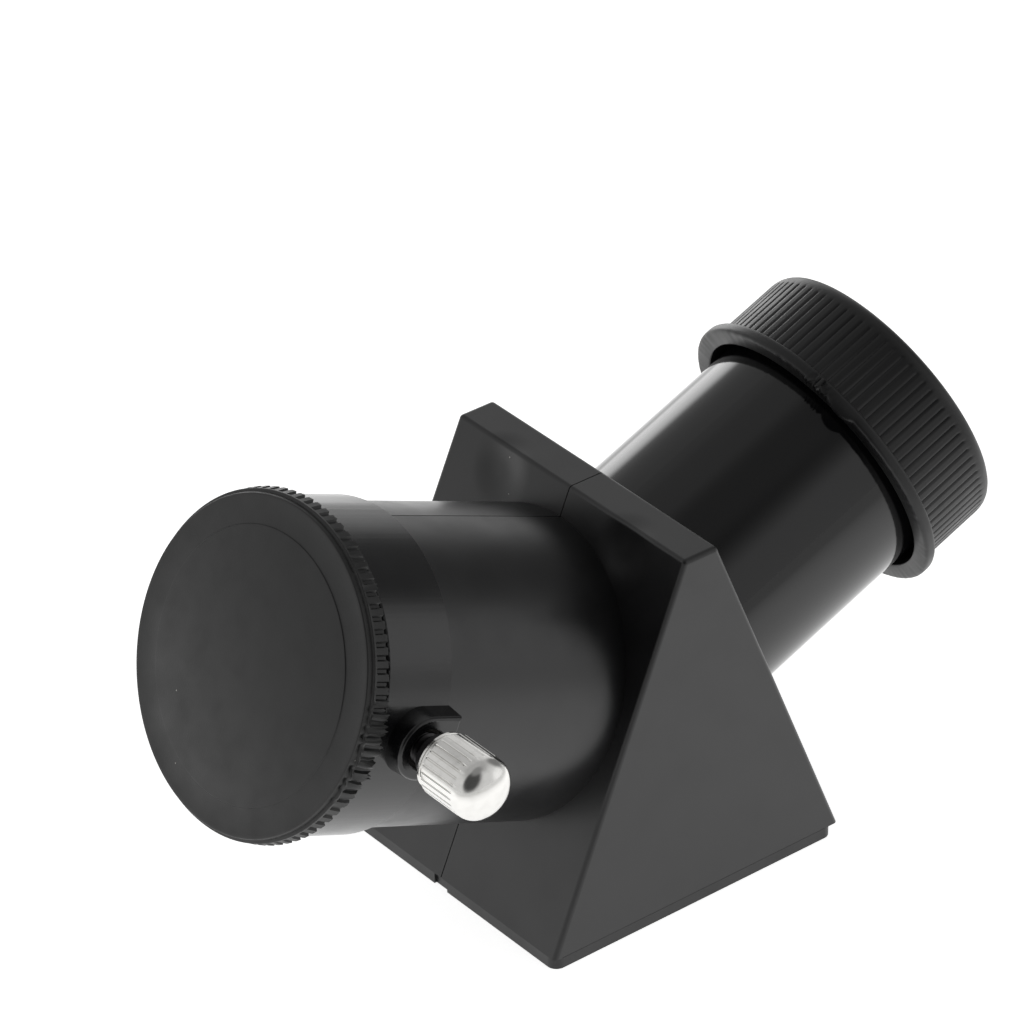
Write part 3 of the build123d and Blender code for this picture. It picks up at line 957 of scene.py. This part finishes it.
@dataclass
class Thumbscrew:
    """The thumbscrew: an M3 stud with a plain neck, and a fluted head with a grooved ring and a dome.

    Heights are along the screw from the eyepiece tube's axis.

    Attributes:
        bench: the screw's frame.
        tip: height of the stud's end.
        stud_radius: outside of the thread.
        root_radius: bottom of the thread.
        pitch: how far the thread rises in one turn.
        neck_start: where the thread ends and the neck begins.
        neck_radius: radius of the plain neck.
        head_start: height of the head's back.
        ring_radius: radius of the grooved ring at the head's back.
        ring_length: length of that ring.
        head_radius: radius of the head over its flutes.
        flute_end: where the dome begins.
        top: height of the dome's top.
        flutes: how many flutes run round the head.
        parts_a_flute: steps of the turn that a flute and the land beside it take.
        flute_parts: how many of them the flute takes.
        flute_depth: depth of a flute.
        blunt_across: power that keeps the dome wide. A half ellipse has 1.
        blunt_up: power that keeps its shoulder low.
    """

    bench: Bench
    tip: float = 12.65
    stud_radius: float = 1.5
    root_radius: float = 1.2
    pitch: float = 0.5
    neck_start: float = 17.2
    neck_radius: float = 1.95
    head_start: float = 18.38
    ring_radius: float = 2.74
    ring_length: float = 0.72
    head_radius: float = 2.95
    flute_end: float = 23.45
    top: float = 25.36
    flutes: int = 28
    parts_a_flute: int = 8
    flute_parts: int = 2
    flute_depth: float = 0.13
    blunt_across: float = 0.94
    blunt_up: float = 1.02

    def build_stud(self) -> bpy.types.Object:
        """Model the threaded stud and its neck as one piece.

        Returns:
            The stud, in its place.
        """
        gap, edge = 0.02, 0.03
        radius, neck, head = self.neck_radius, self.neck_start, self.head_start - gap
        outline = [(0, neck), (radius - edge, neck), (radius, neck + edge), (radius, head), (0, head)]
        piece = turn_outline("thumbscrew_neck", outline, 96)
        bpy.ops.object.mode_set(mode="OBJECT")
        thread = self.cut_thread()
        take(piece)
        thread.select_set(True)
        bpy.ops.object.join()
        piece.name = piece.data.name = "thumbscrew_stud_threaded"
        set_in_place(piece, self.bench, 30)
        return piece

    def cut_thread(self) -> bpy.types.Object:
        """Wind one thread's profile up the stud and trim both ends.

        Returns:
            The thread, standing on its bench.
        """
        start, crest = self.tip - 2 * self.pitch, 0.04
        flank = self.stud_radius - crest - self.root_radius
        # over the rounded crest, down one flank, along the root and up the next: one pitch in all
        profile = ((crest, 0.03), (0, 0.05), (-crest, 0.03), (-flank, 0.16), (0, 0.07), (flank, 0.16))
        thread = draw_line("thumbscrew_thread", (self.stud_radius - crest, start), profile)
        bpy.ops.object.mode_set(mode="OBJECT")
        winding = thread.modifiers.new("winding", "SCREW")
        winding.axis = "Z"
        winding.angle = math.tau
        winding.screw_offset = self.pitch * MM
        winding.iterations = int((self.neck_start - start) / self.pitch) + 2
        winding.steps = winding.render_steps = 40
        winding.use_merge_vertices = True
        winding.merge_threshold = WELD
        bpy.ops.object.modifier_apply(modifier="winding")
        bpy.ops.object.mode_set(mode="EDIT")
        for height, above in ((self.tip, False), (self.neck_start + 0.1, True)):
            bpy.ops.mesh.select_all(action="SELECT")
            bpy.ops.mesh.bisect(plane_co=(0, 0, height * MM), plane_no=(0, 0, 1), use_fill=True,
                                clear_inner=not above, clear_outer=above)
        chamfer, narrowing = 0.12, 0.86
        pick(thread, lambda place: place.z < self.tip + chamfer)
        bpy.ops.transform.resize(value=(narrowing, narrowing, 1), center_override=(0, 0, self.tip * MM))
        weld()
        bpy.ops.object.mode_set(mode="OBJECT")
        return thread

    def build_head(self) -> bpy.types.Object:
        """Model the fluted head with its dome.

        Returns:
            The head, in its place.
        """
        radius, ring, back = self.head_radius, self.ring_radius, self.head_start
        start, end = back + self.ring_length, self.flute_end
        middle = (back + start) / 2
        edge, groove, bottom = 0.06, 0.08, 0.03
        outline = [(0, back), (ring - edge, back), (ring, back + edge), (ring, middle - groove),
                   (ring - groove, middle - bottom), (ring - groove, middle + bottom),
                   (ring, middle + groove), (ring, start - 0.01), (radius - 0.05, start + 0.02),
                   (radius, start + 0.09), (radius, end - 1.0), (radius, end - 0.6), (radius, end - 0.3)]
        dome_radius, rise, dome_steps = radius - 0.02, self.top - end, 14
        outline.append((dome_radius, end))
        for number in range(1, dome_steps):
            turn = math.pi / 2 * number / dome_steps
            outline.append((round(dome_radius * math.cos(turn) ** self.blunt_across, 5),
                            end + rise * math.sin(turn) ** self.blunt_up))
        outline.append((0, self.top))
        piece = turn_outline("thumbscrew_head_fluted", outline, self.flutes * self.parts_a_flute)
        pitch = 360 / self.flutes

        def in_flute(place: Vector) -> bool:
            """Whether a vertex is at the bottom of a flute."""
            part = (around(place) + pitch / self.parts_a_flute / 2) % pitch / pitch * self.parts_a_flute
            return place.xy.length > radius - 0.1 and part < self.flute_parts

        # the flutes are cut to the back edge and run out before the dome
        for low, high, share in ((start + 0.05, end - 0.9, 1.0), (end - 0.9, end - 0.5, 0.75),
                                 (end - 0.5, end - 0.2, 0.35)):
            pick(piece, lambda place: low - 0.01 < place.z < high and in_flute(place))
            shrink_picked(self.flute_depth * share, radius)
        set_in_place(piece, self.bench, 25)
        return piece


# ---------------------------------------------------------------- the prism's pads


@dataclass
class FoamPad:
    """A foam pad held against the prism: flat where it is squeezed and swollen at its free sides.

    Attributes:
        name: name of the piece.
        node: frame node that it stands for.
        squeezed: number of the axis along which it is squeezed.
        swell: how far the middles of its free sides stand out past their edges.
        cuts: how many cuts divide each side.
    """

    name: str
    node: str
    squeezed: int
    swell: float = 0.16
    cuts: int = 7

    def build(self) -> bpy.types.Object:
        """Model the pad inside its node's box.

        Returns:
            The pad, in its place.
        """
        low, high = (Vector(corner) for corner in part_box(self.node))
        size = high - low
        clear_selection()
        bpy.ops.mesh.primitive_cube_add(size=1, location=(low + high) / 2, scale=size)
        piece = bpy.context.active_object
        piece.name = piece.data.name = self.name
        bpy.ops.object.transform_apply(location=True, rotation=True, scale=True)
        bpy.ops.object.mode_set(mode="EDIT")
        bpy.ops.mesh.select_all(action="SELECT")
        bpy.ops.mesh.subdivide(number_cuts=self.cuts)
        middle = (low + high) / 2
        mesh = bmesh.from_edit_mesh(piece.data)
        for vertex in mesh.verts:
            offset = vertex.co - middle
            across = 1 - (2 * offset[self.squeezed] / size[self.squeezed]) ** 2
            free = [axis for axis in range(3) if axis != self.squeezed]
            for axis in free:
                other = free[0] if axis == free[1] else free[1]
                along = 1 - 0.5 * abs(2 * offset[other] / size[other]) ** 3
                keep = 1 - 2 * self.swell * MM / size[axis] * (2 - along - across)
                vertex.co[axis] = middle[axis] + offset[axis] * keep
        bmesh.update_edit_mesh(piece.data)
        bpy.ops.mesh.select_all(action="SELECT")
        bpy.ops.mesh.normals_make_consistent(inside=False)
        bpy.ops.object.mode_set(mode="OBJECT")
        take(piece)
        soft = piece.modifiers.new("soft", "SUBSURF")
        soft.levels = soft.render_levels = 1
        bpy.ops.object.modifier_apply(modifier="soft")
        bpy.ops.object.shade_smooth()
        return piece


# ---------------------------------------------------------------- the frame's own nodes


def dress(material: bpy.types.Material, *nodes: str) -> None:
    """Give frame nodes a material.

    Args:
        material: the finish.
        nodes: names of the nodes.
    """
    for name in nodes:
        node = frame["nodes"][name]
        for place in node.material_slots:
            place.material = material
        if not node.material_slots:
            node.data.materials.append(material)
        log.info("%s: %s", name, material.name)


@dataclass
class Shell:
    """The moulded and turned parts that show: housing, cover, collar, barrel and their screws.

    Attributes:
        eyepiece: the eyepiece tube's frame.
        sink_up: how far the hollows in the housing's front walls stand above the tube's axis.
        sink_out: how far out along the tube they stand.
        sink_side: how far they stand to each side.
        sink_radius: radius of a hollow.
        sink_depth: its depth.
    """

    eyepiece: Bench
    sink_up: float = 14.8
    sink_out: float = 9.1
    sink_side: float = 8.5
    sink_radius: float = 4.0
    sink_depth: float = 0.35

    def dress_housing(self) -> None:
        """Finish the two halves of the housing and their cover."""
        # satin-moulded ABS: the mould's fine texture spreads the room's reflections, and the walls
        # sank a little over the seats inside, on both sides of the tube
        tube = self.eyepiece
        up, out = tube.up * self.sink_up, tube.origin / MM + tube.along * self.sink_out
        sinks = tuple(tuple(out + up + Vector((0, side * self.sink_side, 0))) for side in (-1, 1))
        housing = MouldedPlastic("moulded_abs_satin", "#131314", 1.54, 0.33, 0.05, grain=0.16,
                                 grain_depth=0.0024, waviness=0.012, wave=9.0, sinks=sinks,
                                 sink_radius=self.sink_radius, sink_depth=self.sink_depth)
        dress(housing.material(), "housing_near", "housing_far")
        # the flat cover comes from a duller mould
        cover = MouldedPlastic("moulded_abs_matt", "#111112", 1.54, 0.45, 0.05, grain=0.2, grain_depth=0.004)
        dress(cover.material(), "base_cover")
        # black oxide leaves the screws a dark, dull metal
        dress(PlatedMetal("steel_black_oxide", "#3a3a3e", 0.35, grime="#2a2522").material(), "cover_screws")

    def dress_tubes(self) -> None:
        """Finish the collar, its thread insert and the nose barrel."""
        # the collar slid off a polished core, which drew fine lines along it
        collar = MouldedPlastic("moulded_abs_drawn", "#0e0e0f", 1.54, 0.2, 0.04, grain=0.12,
                                grain_depth=0.0008, waviness=0.006, wave=5.0,
                                streak_along=self.eyepiece.along, streak_depth=0.006)
        dress(collar.material(), "eyepiece_collar")
        # polished ABS mirrors the room with hardly any haze
        barrel = MouldedPlastic("moulded_abs_polished", "#0b0b0c", 1.54, 0.09, 0.02, patch=7.0, grain=0.3,
                                grain_depth=0.0003, waviness=0.004, wave=12.0, dust=0.006)
        dress(barrel.material(), "nose_barrel")
        # turned brass, its colour darkened to brown-black as painted shade for the shaded recess round the stud,
        # with a soft shine
        insert = PlatedMetal("brass_darkened_painted_shade", "#1d1b19", 0.5, grime="#0c0b0a", grime_share=0.3)
        dress(insert.material(), "thread_insert")


def dress_inside() -> None:
    """Finish the prism, its spring and the stops in the tubes."""
    # stops are matt so that no light strays down the tubes
    stop = MouldedPlastic("moulded_stop_matt", "#121212", 1.5, 0.7, 0.05, grain=0.25, grain_depth=0.006)
    dress(stop.material(), "entrance_stop", "exit_stop")
    # rolled spring steel is a bright grey that blurs what it mirrors
    dress(PlatedMetal("spring_steel_rolled", "#b9bcc2", 0.28).material(), "prism_spring")
    # the glass shows by its clear edges and what it bends
    dress(OpticalGlass("crown_glass_polished").material(), "roof_prism")


# ---------------------------------------------------------------- the studio


@dataclass(frozen=True)
class Glow:
    """A soft patch of the surround.

    Attributes:
        azimuth: direction of its middle, degrees from +Y towards +X.
        elevation: degrees above the floor.
        inner: angle from the middle within which it has its full level.
        outer: angle at which it has faded out.
        level: brightness.
    """

    azimuth: float
    elevation: float
    inner: float
    outer: float
    level: float


@dataclass
class Studio:
    """A white sweep with soft light all round, and the camera.

    Attributes:
        base_level: brightness of the surround between its patches.
        glows: those patches.
        floor_size: side of the floor, in metres.
        floor_drop: how far the floor lies under the diagonal, in metres.
        floor_glow: light that the floor gives near the diagonal.
        floor_far_glow: light that it gives further off.
        pool_middle: middle of the near part, in metres.
        pool_ends: distances from there between which the one light turns into the other, in metres.
        lamp_azimuth: direction of the pool of lamp light painted on the floor, degrees from +Y towards +X.
        lamp_glow: brightness of that light.
        lamp_spread: angles from its direction at which it sets in and is full.
        lamp_ends: distances at which it sets in and is full, in metres.
        azimuth: side on which the camera stands, degrees from -Y towards +X.
        elevation: how high it stands, degrees.
        distance: from the camera to what it looks at.
        lens: its focal length.
        aim: the place that it looks at.
    """

    base_level: float = 0.68
    glows: tuple[Glow, ...] = (
        Glow(0, 90, 25, 60, 0.42),        # the top of the tent
        Glow(5, 40, 6, 24, 0.5),          # dimmer above the lamp
        Glow(85, 25, 10, 30, 0.2),        # dark gap in the tent beyond the nose barrel
        Glow(124, 4, 8, 26, 1.0),         # soft light beside that gap
        Glow(48, -2, 8, 26, 0.9),         # the sweep behind the diagonal
        Glow(20, 0, 9, 21, 3.0),          # lamp low behind
        Glow(-141, 36, 25, 44, 0.06),     # dark round the camera
        Glow(-172, 70, 6, 26, 0.24),      # dark gap high up in front
    )
    floor_size: float = 6.0
    floor_drop: float = 0.00003
    floor_glow: float = 0.85
    floor_far_glow: float = 0.33
    pool_middle: tuple[float, float, float] = (-0.012, 0.03, 0.0)
    pool_ends: tuple[float, float] = (0.11, 0.24)
    lamp_azimuth: float = 21.0
    lamp_glow: float = 1.9
    lamp_spread: tuple[float, float] = (24.0, 9.0)
    lamp_ends: tuple[float, float] = (0.15, 0.3)
    azimuth: float = -39.15
    elevation: float = 32.88
    distance: float = 539.6
    lens: float = 213.2
    aim: tuple[float, float, float] = (-2.67, 7.08, 30.89)

    def light_world(self) -> None:
        """Paint the surround with its soft patches, each over the ones before it."""
        world = bpy.data.worlds.new("white_tent")
        bpy.context.scene.world = world
        world.use_nodes = True
        tree = world.node_tree
        tree.nodes.clear()
        way = add_node(tree, "ShaderNodeTexCoord").outputs["Generated"]
        level: object = self.base_level
        for glow in self.glows:
            azimuth, elevation = math.radians(glow.azimuth), math.radians(glow.elevation)
            middle = (math.sin(azimuth) * math.cos(elevation), math.cos(azimuth) * math.cos(elevation),
                      math.sin(elevation))
            close = add_node(tree, "ShaderNodeVectorMath", {0: way, 1: middle}, operation="DOT_PRODUCT")
            mask = add_node(tree, "ShaderNodeMapRange",
                            {"Value": close.outputs["Value"], "From Min": math.cos(math.radians(glow.outer)),
                             "From Max": math.cos(math.radians(glow.inner)), "To Min": 0.0, "To Max": 1.0},
                            interpolation_type="SMOOTHSTEP")
            mix = add_node(tree, "ShaderNodeMix", {"Factor": mask.outputs["Result"], "A": level,
                                                   "B": glow.level}, data_type="FLOAT")
            level = mix.outputs["Result"]
        light = add_node(tree, "ShaderNodeBackground", {"Color": (1, 1, 1, 1), "Strength": level})
        add_node(tree, "ShaderNodeOutputWorld", {"Surface": light.outputs["Background"]})

    def lay_floor(self) -> None:
        """Lay the lit white floor."""
        clear_selection()
        bpy.ops.mesh.primitive_plane_add(size=self.floor_size, location=(0, 0, -self.floor_drop))
        floor = bpy.context.active_object
        floor.name = "floor"
        bpy.ops.object.transform_apply(location=True, rotation=True, scale=True)
        # white acrylic lit from below, painted as emission: a nearly even white on which shadows hardly show,
        # glowing more near the diagonal and with a painted pool of lamp light behind it
        material, tree, place = blank_material("lit_white_acrylic")
        away = add_node(tree, "ShaderNodeVectorMath", {0: place, 1: self.pool_middle},
                        operation="DISTANCE").outputs["Value"]
        pool = spread(tree, away, self.floor_glow, self.floor_far_glow, *self.pool_ends)
        toward = add_node(tree, "ShaderNodeVectorMath", {0: place}, operation="NORMALIZE").outputs["Vector"]
        turn = math.radians(self.lamp_azimuth)
        lamp_way = (math.sin(turn), math.cos(turn), 0)
        close = add_node(tree, "ShaderNodeVectorMath", {0: toward, 1: lamp_way}, operation="DOT_PRODUCT")
        sets_in, full = (math.cos(math.radians(angle)) for angle in self.lamp_spread)
        beam = spread(tree, close.outputs["Value"], 0.0, self.lamp_glow, sets_in, full)
        reach = spread(tree, away, 0.0, 1.0, *self.lamp_ends)
        glow = maths(tree, "ADD", pool, maths(tree, "MULTIPLY", beam, reach))
        close_material(tree, {"Base Color": linear("#f4f4f3"), "Roughness": 0.6,
                              "Emission Color": (1, 1, 1, 1), "Emission Strength": glow})
        floor.data.materials.append(material)

    def set_camera(self) -> None:
        """Stand the camera at its place."""
        azimuth, elevation = math.radians(self.azimuth), math.radians(self.elevation)
        back = Vector((math.sin(azimuth) * math.cos(elevation), -math.cos(azimuth) * math.cos(elevation),
                       math.sin(elevation)))
        lens = bpy.data.cameras.new("camera")
        lens.lens = self.lens
        lens.sensor_width = 36
        lens.clip_start = 0.01
        camera = bpy.data.objects.new("camera", lens)
        bpy.context.scene.collection.objects.link(camera)
        camera.location = (Vector(self.aim) + back * self.distance) * MM
        camera.rotation_euler = back.to_track_quat("Z", "Y").to_euler()
        bpy.context.scene.camera = camera

    def build(self) -> None:
        """Set up light, floor, camera and a plain colour rendering."""
        self.light_world()
        self.lay_floor()
        self.set_camera()
        bpy.context.scene.view_settings.view_transform = "Standard"
        log.info("studio: %d soft patches round the floor", len(self.glows))


# ---------------------------------------------------------------- making it all


def make_caps() -> None:
    """Make the two dust caps."""
    # matt polyethylene, soft enough to pick up fine scuffs, with a hazy sheen
    flat = MouldedPlastic("moulded_polyethylene_matt", "#131313", 1.51, 0.46, 0.06, patch=2.5, grain=0.14,
                          grain_depth=0.007, waviness=0.01, wave=4.0, dust=0.03)
    cap = EyepieceCap(Bench.on_tube(Tube.EYEPIECE)).build()
    hand_over(cap, "eyepiece_dust_cap", ["eyepiece_cap"], flat.material())
    # satin polyethylene: the ribs catch long soft highlights
    ribbed = MouldedPlastic("moulded_polyethylene_satin", "#0e0e0f", 1.46, 0.4, 0.05, patch=3.0,
                            grain=0.14, grain_depth=0.003, dust=0.014)
    cap = NoseCap(Bench.on_tube(Tube.NOSE)).build()
    hand_over(cap, "nose_dust_cap", ["nose_cap"], ribbed.material())


def make_thumbscrew() -> None:
    """Make the thumbscrew's stud and head."""
    screw = Thumbscrew(Bench.on_thumbscrew())
    # nickel over turned brass: a bright mirror with a slightly warm grey
    bright = PlatedMetal("nickel_plate_bright", "#e9e8e5", 0.13)
    hand_over(screw.build_head(), "thumbscrew_grip", ["thumbscrew_head"], bright.material())
    # dark grey steel: the thread's crests shine a little and its roots stay dark
    dull = PlatedMetal("steel_dark_grey_thread", "#3c3b3c", 0.34, mark=0.05, grime="#232120")
    hand_over(screw.build_stud(), "thumbscrew", ["thumbscrew_stud"], dull.material())


def make_pads() -> None:
    """Make the foam pads that hold the prism."""
    # closed-cell foam takes nearly all light, and only its skin of bubbles shows
    foam = CellFoam("closed_cell_foam").material()
    for name, node, squeezed in (("foam_pad_near", "prism_pad_near", 1), ("foam_pad_far", "prism_pad_far", 1),
                                 ("foam_cushion_apex", "apex_cushion", 2)):
        pad = FoamPad(name, node, squeezed).build()
        hand_over(pad, "housing", [node], foam)


def main() -> None:
    """Build everything in order."""
    logging.basicConfig(level=logging.INFO, format="%(name)s: %(message)s")
    Studio().build()
    shell = Shell(Bench.on_tube(Tube.EYEPIECE))
    shell.dress_housing()
    shell.dress_tubes()
    dress_inside()
    make_caps()
    make_thumbscrew()
    make_pads()


if __name__ == "__main__":
    main()
